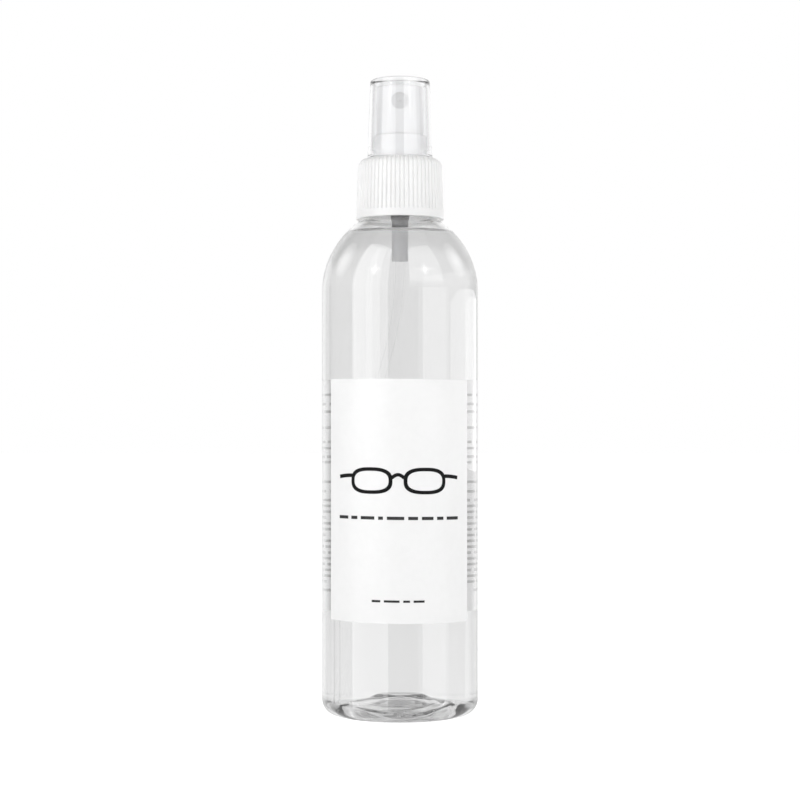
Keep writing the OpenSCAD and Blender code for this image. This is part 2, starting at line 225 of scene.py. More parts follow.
PET_IOR = 1.575
FLUID_IOR = 1.36
TUBE_IOR = 1.41
CAP_IOR = 1.49


def clear_plastic(name, color, ior, wave, roughness=0.0, coat=0.0):
    """Blown or moulded clear plastic: almost mirror smooth, with a faint waviness."""
    m, nodes, links, shader = material(name, color, roughness, ior, 1.0)
    shader.inputs["Coat Weight"].default_value = coat
    shader.inputs["Coat Roughness"].default_value = 0.0
    soft = noise(nodes, links, 70, 2, (1, 1, 0.35))
    bump(nodes, links, shader, soft, wave, 0.0004)
    return m


def moulded_plastic(name, dark, light, roughness, scatter=0.0, glow=0.0):
    """Injection moulded plastic: a fine even grain, tone and gloss that drift slightly. The glow
    stands for light that seeps through from the lit side of a thin wall."""
    m, nodes, links, shader = material(name, light, roughness)
    shader.inputs["Emission Color"].default_value = (1, 1, 1, 1)
    shader.inputs["Emission Strength"].default_value = glow
    shader.inputs["Subsurface Weight"].default_value = scatter
    shader.inputs["Subsurface Radius"].default_value = (1, 0.95, 0.9)
    shader.inputs["Subsurface Scale"].default_value = 0.0015
    tint(nodes, links, shader, noise(nodes, links, 90, 4), dark, light)
    vary(nodes, links, shader, "Roughness", noise(nodes, links, 240), roughness - 0.05, roughness + 0.08)
    bump(nodes, links, shader, noise(nodes, links, 2600, 2), 0.06, 0.0001)
    return m


def label_film(name, tone, glow=0.0):
    """White film that lets light seep through, with a satin coat over a very fine tooth. The glow
    stands for the light that reaches its glue side from the clear bottle round it."""
    m, nodes, links, shader = material(name, (tone, tone, tone), 0.42)
    shader.inputs["Emission Color"].default_value = (1, 1, 1, 1)
    shader.inputs["Emission Strength"].default_value = glow
    shader.inputs["Subsurface Weight"].default_value = 1.0
    shader.inputs["Subsurface Radius"].default_value = (1, 1, 1)
    shader.inputs["Subsurface Scale"].default_value = 0.0003
    shader.inputs["Coat Weight"].default_value = 0.25
    shader.inputs["Coat Roughness"].default_value = 0.12
    tint(nodes, links, shader, noise(nodes, links, 500, 5), (tone - 0.005,) * 3, (tone + 0.005,) * 3)
    vary(nodes, links, shader, "Roughness", noise(nodes, links, 900), 0.36, 0.5)
    bump(nodes, links, shader, noise(nodes, links, 3200, 4), 0.05, 0.0001)
    return m


def ink(name, tone, glow=0.0):
    """Printed ink, slightly uneven in cover. The glow is painted light, for print seen through the lit
    film.
    """
    m, nodes, links, shader = material(name, (tone, tone, tone), 0.6, 1.2)
    shader.inputs["Emission Color"].default_value = (1, 1, 1, 1)
    shader.inputs["Emission Strength"].default_value = glow
    tint(nodes, links, shader, noise(nodes, links, 1500, 4), (tone * 0.8,) * 3, (tone * 1.3 + 0.004,) * 3)
    bump(nodes, links, shader, noise(nodes, links, 4000, 3), 0.04, 0.0001)
    return m


def steel():
    """Drawn steel wire and a polished ball."""
    m, nodes, links, shader = material("steel_polished", (0.62, 0.63, 0.65), 0.22, Metallic=1.0)
    tint(nodes, links, shader, noise(nodes, links, 700, 4), (0.55, 0.56, 0.58), (0.68, 0.69, 0.71))
    vary(nodes, links, shader, "Roughness", noise(nodes, links, 1200, 4, (1, 1, 6)), 0.14, 0.32)
    return m


MATERIALS = {
    "pet": clear_plastic("pet_clear", (0.94, 0.94, 0.94), PET_IOR, 0.05, coat=0.5),
    "pet_wet": clear_plastic("pet_wetted", (0.94, 0.94, 0.94), PET_IOR / FLUID_IOR, 0.05),
    "fluid_top": clear_plastic("fluid_surface", (0.95, 0.95, 0.95), FLUID_IOR, 0.02),
    "fluid_side": clear_plastic("fluid_body", (0.88, 0.88, 0.88), 1.0, 0.0),
    "cap": clear_plastic("cap_clear", (0.95, 0.95, 0.955), CAP_IOR, 0.03),
    "tube": clear_plastic("tube_milky", (0.985, 0.985, 0.985), TUBE_IOR / FLUID_IOR, 0.004, 0.16),
    "label": label_film("film_white", 0.71),
    # The glue side glows: painted light for what the clear bottle lets reach the back of the film.
    "label_glue_painted_glow": label_film("film_glue_side_painted_glow", 0.72, 0.25),
    "ink_bold": ink("ink_bold", 0.004),
    "ink_fine": ink("ink_fine", 0.03),
    # Print seen from inside through the film: a lighter tone for the film over it, and a glow that is
    # painted light.
    "ink_through_painted_glow": ink("ink_through_painted_glow", 0.42, 0.14),
    "white": moulded_plastic("plastic_white", (0.83, 0.83, 0.83), (0.85, 0.85, 0.85), 0.34, 0.25),
    "collar": moulded_plastic("plastic_collar", (0.68, 0.68, 0.68), (0.7, 0.7, 0.7), 0.34, 0.25),
    # The collar's inside is a lighter copy of its plastic that glows: painted light where shade falls
    # inside the collar.
    "collar_inside_painted_glow": moulded_plastic("plastic_collar_lining_glow", (0.72, 0.72, 0.72), (0.74, 0.74, 0.74), 0.34,
                                     0.25, 0.35),
    "natural": moulded_plastic("plastic_natural", (0.6, 0.6, 0.61), (0.68, 0.68, 0.69), 0.36, 0.3),
    # The housing above the fluid takes a much darker copy of its plastic: painted shade under the collar.
    "shank_painted_shade": moulded_plastic("plastic_housing_painted_shade", (0.17, 0.17, 0.175), (0.2, 0.2, 0.205), 0.36, 0.3),
    "insert": moulded_plastic("plastic_insert", (0.66, 0.66, 0.66), (0.7, 0.7, 0.7), 0.35, 0.1),
    "foam": moulded_plastic("foam_pale", (0.7, 0.7, 0.69), (0.8, 0.8, 0.79), 0.7, 0.1),
    "rubber": moulded_plastic("rubber_dark", (0.03, 0.03, 0.032), (0.06, 0.06, 0.062), 0.55),
    "steel": steel(),
}


def finish_piece(piece, body, slot, *names):
    """Gives a piece its body and its materials. The slot argument is not used."""
    for name in names:
        piece.data.materials.append(MATERIALS[name])
    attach(piece, body)
    return piece


def paint_node(node, name):
    """A carried-over CAD node keeps its shape and takes a better material."""
    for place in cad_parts[node].material_slots:
        place.material = MATERIALS[name]


# ---------------------------------------------------------------- main sizes, most of them from the frame

def top_of(node):
    """Height of a node's top in millimetres."""
    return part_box(node)[1].z / MM


def foot_of(node):
    """Height of a node's foot in millimetres."""
    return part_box(node)[0].z / MM


def radius_of(node):
    """Half the width of a round node in millimetres."""
    low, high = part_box(node)
    return (high.x - low.x) / 2 / MM


BODY_R = radius_of("bottle")
NECK_TOP = top_of("bottle")
FLUID_Z = top_of("cleaning_fluid")
LABEL_Z0, LABEL_Z1 = foot_of("front_label"), top_of("front_label")
COLLAR_Z0, COLLAR_Z1 = foot_of("screw_collar"), top_of("screw_collar")
CAP_Z0, CAP_Z1 = foot_of("overcap"), top_of("overcap")
TAIL_FOOT = foot_of("pump_housing")
SEAT_Z = foot_of("ball_retainer")  # top of the inlet ball's chamber, where its retainer sits
FLANGE_Z0, FLANGE_Z1 = top_of("neck_gasket"), top_of("pump_housing")
TURRET_TOP = top_of("pump_turret")
WALL = 0.7
HEEL_R = 4.5
SHOULDER_Z = 134.5              # where the straight side ends and the shoulder's arc begins
SHOULDER_R = 27.7
SHOULDER_AXIS = BODY_R - SHOULDER_R
NECK_R = 10.95
NECK_FOOT = 158.2               # where the shoulder runs into the neck
BORE_R = 9.0
LABEL_R = BODY_R + 0.1
THREAD_PITCH, THREAD_TURNS = 3.175, 1.5
THREAD_Z = NECK_TOP - 7.8       # where the neck's thread starts


# ---------------------------------------------------------------- bottle and fluid

RING_R = 17.8                   # inner edge of the standing ring
DISH_Z = 3.0                    # height of the dish under the base
CROWN_Z, CROWN_R = 2.2, 7.0     # how much its middle rises above that, and how widely
FLOW_DEPTH, FLOW_PITCH = 0.5, 2.9
FLOW_SIDES = (                  # middle and spread in degrees, share of the depth, twist
    (-24, 34, 1.0, 0.06),
    (216, 26, 0.45, -0.04),
)
MENISCUS, MENISCUS_REACH = 1.9, 1.2  # how far the fluid climbs the wall, and how far out that shows
SHANK_R = 2.65                  # radius of the pump's tail at the fluid's surface
SHANK_RISE, SHANK_REACH = 0.55, 0.6  # the fluid's climb at the tail, and its reach
SINK = 0.06                     # how far the fluid's skin lies inside the bottle's wall


def inner_section(sink, stop_z):
    """The bottle's inside from the middle of its base to a height on the shoulder; sink moves it into
    the wall."""
    wall_r = BODY_R - WALL + sink
    base_z = 1.3 - sink
    lower = rounded([
        (0, 7.5 - sink),
        (5.2, 7.4 - sink, 2.5),
        (7.6, 5.9 - sink, 3),
        (15.0, 4.2 - sink, 6),
        (18.0, base_z + 0.2, 4),
        (wall_r, base_z, 4.0),
        (wall_r, SHOULDER_Z),
    ], 8)
    radius = SHOULDER_R - WALL + sink
    stop = math.degrees(math.asin((stop_z - SHOULDER_Z) / radius))
    return lower[:-1] + arc(SHOULDER_AXIS, SHOULDER_Z, radius, 0, stop, 40)


def dish_height(r):
    """Height of the dish under the base, inside the standing ring."""
    return DISH_Z * (1 - (r / RING_R) ** 2) + CROWN_Z * math.exp(-(r / CROWN_R) ** 2)


def flow_rings(angle, r, z):
    """Depth of the uneven rings that the blow mould leaves under the base, deepest on two sides."""
    if r > RING_R or z > dish_height(r) + 0.4:
        return 0
    window = math.sin(math.pi * (r / RING_R) ** 2)
    depth = 0
    for middle, spread, share, twist in FLOW_SIDES:
        off = (angle - middle + 180) % 360 - 180
        wave = 0.5 + 0.5 * math.sin(2 * math.pi * r / FLOW_PITCH + off * twist)
        depth += share * wave * math.exp(-(off / spread) ** 2)
    return FLOW_DEPTH * window * depth


def outer_section():
    """The bottle's outside from the middle of its base up the shoulder, and then its neck."""
    neck_angle = math.degrees(math.acos((NECK_R - SHOULDER_AXIS) / SHOULDER_R))
    dish = [(r, dish_height(r)) for r in spaced(0, RING_R - 1.2, 0.35)]
    heel = rounded([
        (RING_R - 0.8, dish_height(RING_R - 0.8)),
        (RING_R, 0, 2),
        (BODY_R, 0, HEEL_R),
        (BODY_R, SHOULDER_Z),
    ], 8)
    base = dish + heel
    shoulder = arc(SHOULDER_AXIS, SHOULDER_Z, SHOULDER_R, 0, neck_angle - 1.5, 48)
    neck = rounded([
        (NECK_R + 0.4, NECK_FOOT),
        (NECK_R, NECK_FOOT + 0.8, 0.6),
        (NECK_R, NECK_TOP, 0.35),
        (BORE_R, NECK_TOP, 0.35),
        (BORE_R, NECK_FOOT + 2.3, 3),
        (BORE_R + 0.6, NECK_FOOT + 0.4),
    ], 6)
    return base[:-1] + shoulder, neck


def make_bottle():
    """The blown shell. Its inside below the fluid's edge has the index of plastic against fluid."""
    wet_z = FLUID_Z + MENISCUS
    outside, neck = outer_section()
    lining = inner_section(0, NECK_FOOT + 0.1)
    wet = [p for p in lining if p[1] < wet_z - 0.05]
    edge = inner_section(0, wet_z)[-1]
    dry = [p for p in lining if p[1] > wet_z + 0.05]
    inside = list(reversed(wet + [edge] + dry))
    shell = revolve("bottle_shell", outside + neck + inside, 192, flow_rings)
    finish_piece(shell, "container", "clear_pet", "pet", "pet_wet")
    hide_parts("bottle")
    mark_wet_faces(shell, wet_z * MM)


def mark_wet_faces(shell, wet_z):
    """Faces of the inside that the fluid touches take the second material."""
    floor_top, ring_top, inner_r = 12 * MM, 1.2 * MM, (BORE_R + 0.5) * MM
    for face in shell.data.polygons:
        centre, normal = face.center, face.normal
        away = Vector((centre.x, centre.y, 0))
        faces_in = normal.dot(away) < 0 and away.length > inner_r and centre.z >= ring_top
        faces_up = normal.z > 0.05 and centre.z < floor_top
        if centre.z <= wet_z and (faces_up or faces_in):
            face.material_index = 1


def thread_ridge(name, root_r, crest_r, root_w, crest_w, start_z, body, slot, look):
    """A right-hand thread ridge that fades into its wall at both ends."""
    per_turn = 72
    steps = int(THREAD_TURNS * per_turn)
    rings = []
    for i in range(steps + 1):
        a = 2 * math.pi * i / per_turn
        z = start_z + THREAD_PITCH * i / per_turn
        full = max(0.1, min(1, i / 8, (steps - i) / 8))
        crest = root_r + (crest_r - root_r) * full
        soft = crest + (root_r - crest_r) * 0.12 * full
        section = [(root_r, -root_w / 2), (soft, -crest_w / 2 - 0.12), (crest, -crest_w / 2 + 0.1),
                   (crest, crest_w / 2 - 0.1), (soft, crest_w / 2 + 0.12), (root_r, root_w / 2)]
        rings.append([(r * math.cos(a), r * math.sin(a), z + dz) for r, dz in section])
    finish_piece(sweep(name, rings, 50), body, slot, look)


def make_fluid():
    """The fluid, with its edge drawn up the wall and round the pump's shank. The rings of its surface
    lie closest together where it climbs."""
    side = inner_section(SINK, FLUID_Z + MENISCUS)
    edge_r, edge_z = side[-1]
    top = []
    for i in range(1, 25):
        away = 5.0 * (i / 24) ** 1.6
        top.append((edge_r - away, FLUID_Z + (edge_z - FLUID_Z) * math.exp(-away / MENISCUS_REACH)))
    for i in range(17):
        away = 3.0 * (1 - i / 16) ** 1.6
        top.append((SHANK_R - 0.1 + away, FLUID_Z + SHANK_RISE * math.exp(-away / SHANK_REACH)))
    fluid = revolve("fluid", side + top + [(0, top[-1][1])])
    finish_piece(fluid, "container", "clear_fluid", "fluid_side", "fluid_top")
    for face in fluid.data.polygons:
        away = math.hypot(face.center.x, face.center.y)
        if face.normal.z > 0.02 and face.center.z > (FLUID_Z - 1) * MM and away < edge_r * MM:
            face.material_index = 1
    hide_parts("cleaning_fluid")


make_bottle()
make_fluid()
thread_ridge("neck_thread", root_r=NECK_R - 0.25, crest_r=11.95, root_w=1.9, crest_w=0.8,
             start_z=THREAD_Z, body="container", slot="clear_pet", look="pet")

# ---------------------------------------------------------------- labels

LABEL_HALF = 58.2               # degrees each side of the label's middle
LABEL_GRIP = 0.05               # how far a label's glue side lies in the bottle's surface
FRONT_AZIMUTH, BACK_AZIMUTH = -91.4, 90
FRONT_LEAN = 0.0085             # how far the front label was stuck on out of square
BACK_LIFT = 0.7                 # and how much higher the back one was stuck on
INK_HALF = 0.012                # half the thickness of a shape in ink
MARK_Z = LABEL_Z0 + 43.9        # middle of the spectacles
LINE_HALF = 0.42                # half the height of a line of small print


def label_panel(name, centre, lean, lift, node):
    """A thin film wrapped on the bottle."""
    columns, rows = 96, 24
    half = math.radians(LABEL_HALF)
    z0, z1 = LABEL_Z0 + 0.02 + lift, LABEL_Z1 - 0.02 + lift
    outer_r, inner_r = LABEL_R, BODY_R - LABEL_GRIP
    verts, faces = [], []
    for r in (outer_r, inner_r):
        for j in range(rows + 1):
            for i in range(columns + 1):
                across = -1 + 2 * i / columns
                a = math.radians(centre) + half * across
                z = z0 + (z1 - z0) * j / rows - lean * across * half * BODY_R
                verts.append((r * math.cos(a), r * math.sin(a), z))
    wide = columns + 1
    layer = wide * (rows + 1)
    for j in range(rows):
        for i in range(columns):
            q = j * wide + i
            faces.append([q, q + 1, q + wide + 1, q + wide])
            faces.append([layer + q, layer + q + wide, layer + q + wide + 1, layer + q + 1])
    for i in range(columns):
        for q in (i, rows * wide + i):
            faces.append([q, q + 1, layer + q + 1, layer + q])
    for j in range(rows):
        for q in (j * wide, j * wide + columns):
            faces.append([q, q + wide, layer + q + wide, layer + q])
    panel = new_piece(name, verts, faces)
    finish_piece(panel, "container", "label_film", "label", "label_glue_painted_glow")
    # Faces towards the bottle take the glowing glue side: painted light.
    for face in panel.data.polygons:
        if face.center.xy.dot(face.normal.xy) < -0.5 * face.center.xy.length:
            face.material_index = 1
    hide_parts(node)


class Print:
    """Raised ink shapes on a label, drawn in arc length and height, gathered into one piece."""

    def __init__(self, centre, lean, surface_r):
        self.centre = centre
        self.lean = lean
        self.under = surface_r - INK_HALF
        self.over = surface_r + INK_HALF
        self.verts = []
        self.faces = []

    def place(self, s, z, r):
        """A point at arc length s from the label's middle, at height z, on radius r."""
        a = math.radians(self.centre) + s / LABEL_R
        return (r * math.cos(a), r * math.sin(a), z - self.lean * s)

    def band(self, outer, inner):
        """The ink between two closed outlines with the same number of points."""
        n = len(outer)
        start = len(self.verts)
        for r in (self.over, self.under):
            for line in (outer, inner):
                self.verts += [self.place(s, z, r) for s, z in line]
        for k in range(n):
            m = (k + 1) % n
            top_out, top_in = start, start + n
            low_out, low_in = start + 2 * n, start + 3 * n
            self.faces += [
                [top_out + k, top_out + m, top_in + m, top_in + k],
                [low_out + k, low_in + k, low_in + m, low_out + m],
                [top_out + k, low_out + k, low_out + m, top_out + m],
                [top_in + k, top_in + m, low_in + m, low_in + k],
            ]

    def bar(self, s0, s1, z0, z1):
        """A filled bar, split often enough to follow the curve."""
        cuts = max(1, int(abs(s1 - s0) / 0.8))
        start = len(self.verts)
        for r in (self.over, self.under):
            for z in (z0, z1):
                self.verts += [self.place(s0 + (s1 - s0) * i / cuts, z, r) for i in range(cuts + 1)]
        wide = cuts + 1
        top0, top1, low0, low1 = (start + wide * k for k in range(4))
        for i in range(cuts):
            self.faces += [
                [top0 + i, top0 + i + 1, top1 + i + 1, top1 + i],
                [low0 + i, low1 + i, low1 + i + 1, low0 + i + 1],
                [top0 + i, low0 + i, low0 + i + 1, top0 + i + 1],
                [top1 + i, top1 + i + 1, low1 + i + 1, low1 + i],
            ]
        for i in (0, cuts):
            self.faces.append([top0 + i, top1 + i, low1 + i, low0 + i])

    def stroke(self, points, width):
        """A line of even width along points."""
        n = len(points)
        start = len(self.verts)
        for r in (self.over, self.under):
            for edge in both_sides(points, width):
                self.verts += [self.place(s, z, r) for s, z in edge]
        top_left, top_right, low_left, low_right = (start + n * k for k in range(4))
        for i in range(n - 1):
            self.faces += [
                [top_left + i, top_left + i + 1, top_right + i + 1, top_right + i],
                [low_left + i, low_right + i, low_right + i + 1, low_left + i + 1],
                [top_left + i, low_left + i, low_left + i + 1, top_left + i + 1],
                [top_right + i, top_right + i + 1, low_right + i + 1, low_right + i],
            ]
        for i in (0, n - 1):
            self.faces.append([top_left + i, top_right + i, low_right + i, low_left + i])

    def dashes(self, z0, z1, reach, widths, gap):
        """A row of bars that stands for a line of small print, centred on the label."""
        scale = 2 * reach / (sum(widths) + gap * (len(widths) - 1))
        s = -reach
        for w in widths:
            self.bar(s, s + w * scale, z0, z1)
            s += (w + gap) * scale

    def piece(self, name, look):
        """Makes the gathered shapes into one piece."""
        finish_piece(new_piece(name, self.verts, self.faces), "container", "label_film", look)


def lens_outline(middle, z, half_w, half_h, power=2.7, steps=64):
    """A rounded spectacle lens, flatter at its sides than an ellipse."""
    points = []
    for k in range(steps):
        a = 2 * math.pi * k / steps
        c, s = math.cos(a), math.sin(a)
        points.append((middle + half_w * math.copysign(abs(c) ** (2 / power), c),
                       z + half_h * math.copysign(abs(s) ** (2 / power), s)))
    return points


def both_sides(points, width):
    """The two edges of a stroke along points."""
    left, right = [], []
    for i, p in enumerate(points):
        before, after = points[max(0, i - 1)], points[min(len(points) - 1, i + 1)]
        run = (Vector(after) - Vector(before)).normalized()
        side = Vector((-run.y, run.x)) * (width / 2)
        left.append(tuple(Vector(p) + side))
        right.append(tuple(Vector(p) - side))
    return left, right


def front_print():
    """A plain spectacles mark over two rows of bars."""
    bold = Print(FRONT_AZIMUTH, FRONT_LEAN, LABEL_R)
    for side in (-1, 1):
        middle = side * 8.6
        bold.band(lens_outline(middle, MARK_Z, 6.9, 4.1), lens_outline(middle, MARK_Z, 5.7, 3.0))
        temple = [(side * (15.2 + 5.2 * t), MARK_Z + 1.5 - 0.5 * t * t) for t in (0, 0.25, 0.5, 0.75, 1)]
        bold.stroke(temple, 1.15)
    bridge = [(-1.95 + 3.9 * i / 10, MARK_Z + 0.9 + math.sin(math.pi * i / 10)) for i in range(11)]
    bold.stroke(bridge, 1.1)
    bold.piece("front_mark", "ink_bold")
    fine = Print(FRONT_AZIMUTH, FRONT_LEAN, LABEL_R)
    fine.dashes(LABEL_Z0 + 31.9, LABEL_Z0 + 32.9, 20.6, [5, 3, 6, 2, 7, 4, 5, 3, 6], 1.6)
    fine.dashes(LABEL_Z0 + 6.5, LABEL_Z0 + 7.2, 8.3, [4, 7, 3, 5], 1.6)
    fine.piece("front_small_print", "ink_fine")


def back_print():
    """Rows of fine bars: short notes above, then a close block, then one more line, each at its height
    above the label's foot. They are laid twice, on the film and on its glue side, where they show
    through."""
    notes = [71.2, 68.2, 65.7, 60.5, 55.8, 53.8, 51.0, 49.2, 42.8, 39.7, 36.8]
    block = [34.9 - 1.9 * k for k in range(14)]
    pattern = [5, 3, 7, 2, 6, 4, 8, 3, 5, 6, 2, 7, 4, 3, 6]
    for name, surface_r, look in (("back_small_print", LABEL_R, "ink_fine"),
                                  ("back_print_through", BODY_R - LABEL_GRIP, "ink_through_painted_glow")):
        fine = Print(BACK_AZIMUTH, 0, surface_r)
        for row, height in enumerate(notes + block + [7.4]):
            z = LABEL_Z0 + height
            first = row % len(pattern)
            turned = pattern[first:] + pattern[:first]
            fine.dashes(z - LINE_HALF, z + LINE_HALF, 20, turned[:13], 1.2)
        fine.piece(name, look)


label_panel("front_film", FRONT_AZIMUTH, FRONT_LEAN, 0, "front_label")
label_panel("back_film", BACK_AZIMUTH, 0, BACK_LIFT, "back_label")
front_print()
back_print()

# ---------------------------------------------------------------- collar

GROOVES = 60
GROOVE_DEPTH = 0.34
GROOVE_SHARE = 0.19             # half width of a groove, as a share of the pitch
COLLAR_FOOT_R = 14.05
COLLAR_SHOULDER_R = 13.45       # where the rounded top begins
COLLAR_ROUND = 2.6
COLLAR_STEP_Z = FLANGE_Z1 + 0.8  # the step that bears on the turret's flange


def collar_dent(angle, r, z):
    """Depth of the grip grooves: they start above the plain band and run out over the rounded top."""
    if r < 11.0 or z < COLLAR_Z0 + 2.0:
        return 0
    phase = (angle * GROOVES / 360 + 0.5) % 1 - 0.5
    shape = max(0, 1 - abs(phase) / GROOVE_SHARE)
    rise = min(1, max(0, (z - COLLAR_Z0 - 2.3) / 0.35))
    fade = min(1, max(0, (r - 11.2) / 1.4))
    return GROOVE_DEPTH * shape ** 0.8 * rise * fade


def make_collar():
    """The ribbed collar, with the bore for its thread and the step inside its top."""
    foot_r, top_r = COLLAR_FOOT_R, COLLAR_SHOULDER_R
    outer = [(foot_r - 0.25, COLLAR_Z0), (foot_r - 0.06, COLLAR_Z0 + 0.08), (foot_r, COLLAR_Z0 + 0.3)]
    levels = [1.2, 1.8, 2.25, 2.35, 2.45, 2.55, 2.65, 2.9, 5, 8, 11, 14]
    slope = (foot_r - top_r) / 16.7
    outer += [(foot_r - slope * h, COLLAR_Z0 + h) for h in levels]
    outer += arc(top_r - COLLAR_ROUND, COLLAR_Z1 - COLLAR_ROUND, COLLAR_ROUND, 0, 90, 18)
    inner = rounded([
        (9.6, COLLAR_Z1),
        (8.9, COLLAR_Z1, 0.3),
        (8.9, COLLAR_STEP_Z, 0.15),
        (12.35, COLLAR_STEP_Z, 0.4),
        (12.35, COLLAR_Z0 + 2.2, 0.2),
        (12.75, COLLAR_Z0 + 1.8, 0.2),
        (12.75, COLLAR_Z0, 0.25),
        (13.3, COLLAR_Z0),
    ], 4)

    def dent(angle, r, z):
        outside = r > 13.0 or z > COLLAR_Z1 - 2.0
        return collar_dent(angle, r, z) if outside else 0

    collar = revolve("ribbed_collar", outer + inner, GROOVES * 12, dent, 28)
    finish_piece(collar, "collar", "white_plastic", "collar", "collar_inside_painted_glow")
    # Inward faces take the lighter, glowing copy: painted light.
    for face in collar.data.polygons:
        middle = face.center
        within = middle.z < (COLLAR_Z1 - 0.6) * MM and middle.xy.length < 13.0 * MM
        turned_in = face.normal.xy.dot(middle.xy) < 0 or face.normal.z < -0.5
        if within and turned_in:
            face.material_index = 1
    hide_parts("screw_collar")


make_collar()
thread_ridge("collar_thread", root_r=12.6, crest_r=11.3, root_w=1.7, crest_w=0.6,
             start_z=THREAD_Z - 1.31, body="collar", slot="white_plastic", look="collar")

# ---------------------------------------------------------------- overcap

def make_overcap():
    """The clear cup, slightly tapered, with a snap bead inside its mouth."""
    outside = rounded([
        (9.9, CAP_Z0),
        (10.45, CAP_Z0, 0.3),
        (10.3, CAP_Z0 + 2.8, 6),
        (9.5, CAP_Z1, 0.6),
        (0, CAP_Z1),
    ], 8)
    inside = rounded([
        (0, CAP_Z1 - 1.4),
        (8.5, CAP_Z1 - 1.4, 0.4),
        (9.35, CAP_Z0 + 4.0, 3),
        (9.15, CAP_Z0 + 2.2, 1.5),
        (9.45, CAP_Z0 + 0.8, 2.0),
        (9.5, CAP_Z0, 0.1),
        (9.7, CAP_Z0),
    ], 8)
    cap = revolve("clear_overcap", outside + inside)
    finish_piece(cap, "cap", "clear_cap", "cap")
    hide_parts("overcap")


make_overcap()

# ---------------------------------------------------------------- pump

def make_housing():
    """The pump's chamber, with its flange above and its tail in the fluid below."""
    section = rounded([
        (1.42, TAIL_FOOT),
        (1.95, TAIL_FOOT, 0.2),
        (1.95, SEAT_Z - 4.8, 0.2),
        (SHANK_R, SEAT_Z - 4.6, 0.2),
        (SHANK_R, SEAT_Z - 0.7, 0.2),
        (2.95, SEAT_Z - 0.4, 0.2),
        (2.95, SEAT_Z + 0.8, 0.3),
        (5.6, SEAT_Z + 3.8, 0.5),
        (5.6, FLANGE_Z0, 0.2),
        (10.7, FLANGE_Z0, 0.15),
        (10.7, FLANGE_Z1, 0.15),
        (4.6, FLANGE_Z1, 0.1),
        (4.6, SEAT_Z + 4.8, 0.3),
        (2.3, SEAT_Z + 2.8, 0.3),
        (2.3, SEAT_Z, 0.1),
        (1.5, SEAT_Z, 0.1),
        (1.5, SEAT_Z - 2.2, 0.1),
        (0.8, SEAT_Z - 3.0, 0.1),
        (0.8, SEAT_Z - 3.8, 0.1),
        (1.42, SEAT_Z - 3.8, 0.1),
        (1.42, TAIL_FOOT + 0.2),
    ], 4)
    housing = revolve("housing_shell", section, 96)
    finish_piece(housing, "pump_body", "natural_plastic", "shank_painted_shade", "natural")
    # Faces above the fluid keep the darker copy, which is painted shade; those in the fluid take the plain
    # plastic.
    for face in housing.data.polygons:
        if face.center.z < FLUID_Z * MM:
            face.material_index = 1
    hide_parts("pump_housing")


def make_turret():
    """The flanged cup that closes the chamber and holds the overcap."""
    seal_top, lip_foot, flange_top = top_of("stem_seal"), foot_of("pump_turret"), FLANGE_Z1 + 0.75
    section = rounded([
        (2.0, seal_top),
        (3.98, seal_top),
        (3.98, lip_foot),
        (4.58, lip_foot),
        (4.58, FLANGE_Z1),
        (10.6, FLANGE_Z1, 0.1),
        (10.6, flange_top, 0.1),
        (8.7, flange_top, 0.1),
        (8.7, TURRET_TOP - 0.6, 0.5),
        (8.2, TURRET_TOP, 0.2),
        (7.9, TURRET_TOP, 0.1),
        (7.9, FLANGE_Z1 + 1.2, 0.3),
        (3.6, FLANGE_Z1 + 1.2, 0.3),
        (3.3, FLANGE_Z1 + 4.8, 0.2),
        (2.0, FLANGE_Z1 + 4.8, 0.1),
        (2.0, seal_top + 0.1),
    ], 4)
    turret = revolve("turret_shell", section, 128)
    finish_piece(turret, "pump_body", "white_plastic", "white")
    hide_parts("pump_turret")


def make_spring():
    """Closed end coils and open ones between, with a round wire."""
    low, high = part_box("return_spring")
    wire, coil_r, active, per_turn, sides = 0.225, 1.9, 6, 40, 12
    z0, z1 = low.z / MM + wire, high.z / MM - wire
    turns = active + 2
    rings = []
    for i in range(turns * per_turn + 1):
        t = i / per_turn
        risen = max(0, min(active, t - 1)) / active
        closed = min(t, 1) + max(0, t - turns + 1)
        z = z0 + 2 * wire * closed + (z1 - z0 - 4 * wire) * risen
        a = 2 * math.pi * t
        ring = []
        for k in range(sides):
            b = 2 * math.pi * k / sides
            r = coil_r + wire * math.cos(b)
            ring.append((r * math.cos(a), r * math.sin(a), z + wire * math.sin(b)))
        rings.append(ring)
    spring = sweep("coil_spring", rings, 60)
    finish_piece(spring, "pump_body", "steel", "steel")
    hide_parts("return_spring")
    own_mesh(spring)


TUBE_R, TUBE_BORE = 1.4, 0.95   # radii of the dip tube and of its bore
TUBE_HEADING = 214              # the side it runs out to, in degrees
TUBE_OFFSET = 22.75             # how far out it runs down the wall
TUBE_BEND, TUBE_LEAN = 120, 15  # radius of its bends, and its lean between them in degrees
TUBE_FOOT, TUBE_TOP = foot_of("dip_tube"), top_of("dip_tube")
BEND_TOP = TAIL_FOOT + 1.6      # where the first bend starts


def tube_route():
    """(distance from the axis, height, lean in degrees) down the tube's two bends."""
    lean = math.radians(TUBE_LEAN)
    out = TUBE_BEND * (1 - math.cos(lean))
    drop = TUBE_BEND * math.sin(lean)
    slope = (TUBE_OFFSET - 2 * out) / math.sin(lean)
    wall_z = BEND_TOP - 2 * drop - slope * math.cos(lean)
    route = [(0, TUBE_TOP, 0), (0, (TUBE_TOP + BEND_TOP) / 2, 0)]
    for i in range(25):
        a = lean * i / 24
        route.append((TUBE_BEND * (1 - math.cos(a)), BEND_TOP - TUBE_BEND * math.sin(a), math.degrees(a)))
    for i in range(25):
        a = lean * (1 - i / 24)
        route.append((TUBE_OFFSET - TUBE_BEND * (1 - math.cos(a)), wall_z + TUBE_BEND * math.sin(a),
                      math.degrees(a)))
    route += [(TUBE_OFFSET, wall_z * 0.5, 0), (TUBE_OFFSET, TUBE_FOOT, 0)]
    return route


